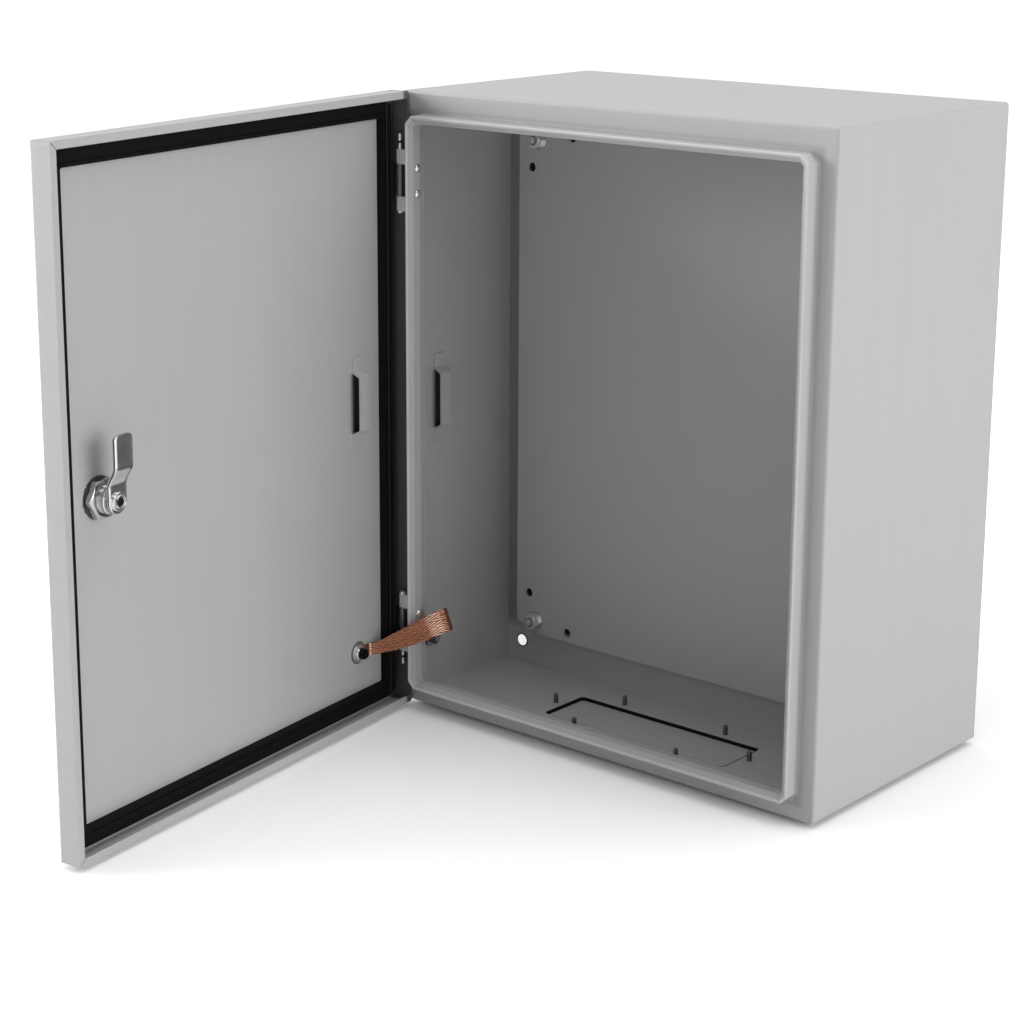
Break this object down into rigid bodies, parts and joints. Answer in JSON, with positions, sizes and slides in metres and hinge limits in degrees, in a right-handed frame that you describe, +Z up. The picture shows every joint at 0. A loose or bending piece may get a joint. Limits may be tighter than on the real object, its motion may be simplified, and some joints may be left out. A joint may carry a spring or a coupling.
{
  "type": "wall-mounted sheet steel enclosure",
  "caption": "Sheet steel wall enclosure with hinged door, sealing lip and gasket, cam lock, mounting plate, floor cable entry and earth braid.",
  "frame": {"origin": "centre of the four wall holes, on the rear face", "axes": "+Z up, +Y towards the wall, +X to the right seen from the front"},
  "size_m": [0.4083, 0.6287, 0.5041],
  "materials": {
    "grey_paint": "light grey powder coat, fine texture",
    "door_paint": "light grey powder coat, fine texture",
    "plate_paint": "satin grey",
    "zinc": "bright zinc plating",
    "dark_zinc": "dark plated steel",
    "copper": "copper braid and lugs",
    "gasket_rubber": "foamed-in-place seal",
    "seal_rubber": "flat seal",
    "white_plastic": "moulded plug"
  },
  "bodies": {
    "cabinet": {"body_shell": "grey_paint", "back_wall": "grey_paint", "rear_cover": "grey_paint", "wall_sleeves": "zinc", "hole_plugs": "white_plastic", "mounting_plate": "plate_paint", "plate_studs": "zinc", "plate_spacers": "zinc", "plate_washers": "zinc", "plate_nuts": "zinc", "entry_cover": "grey_paint", "entry_seal": "seal_rubber", "entry_screws": "zinc", "body_cable_bracket": "grey_paint", "hinge_body_leaves": "zinc", "hinge_screws": "zinc", "hinge_pins": "zinc", "body_earth_stud": "zinc", "body_earth_nut": "dark_zinc", "body_earth_washer": "zinc", "body_strap_lug": "copper", "earth_strap": "copper"},
    "door": {"door_pan": "door_paint", "door_gasket": "gasket_rubber", "door_cable_bracket": "door_paint", "hinge_door_leaves": "dark_zinc", "lock_housing": "zinc", "lock_washer": "zinc", "lock_nut": "zinc", "door_earth_stud": "zinc", "door_earth_nut": "dark_zinc", "door_earth_washer": "zinc", "door_strap_lug": "copper"},
    "lock": {"lock_spindle": "zinc", "lock_cam": "zinc", "cam_screw": "zinc"}
  },
  "joints": [
    {"name": "door_hinge", "type": "hinge", "parent": "cabinet", "child": "door", "pos_m": [-0.1945, -0.2365, 0], "axis": [0, 0, 1], "range_deg": [-28, 82], "deforming": ["earth_strap"]},
    {"name": "lock_turn", "type": "hinge", "parent": "door", "child": "lock", "pos_m": [-0.13531, -0.57506, 0.001], "axis": [0.9903, 0.1392, 0], "range_deg": [0, 90]}
  ]
}
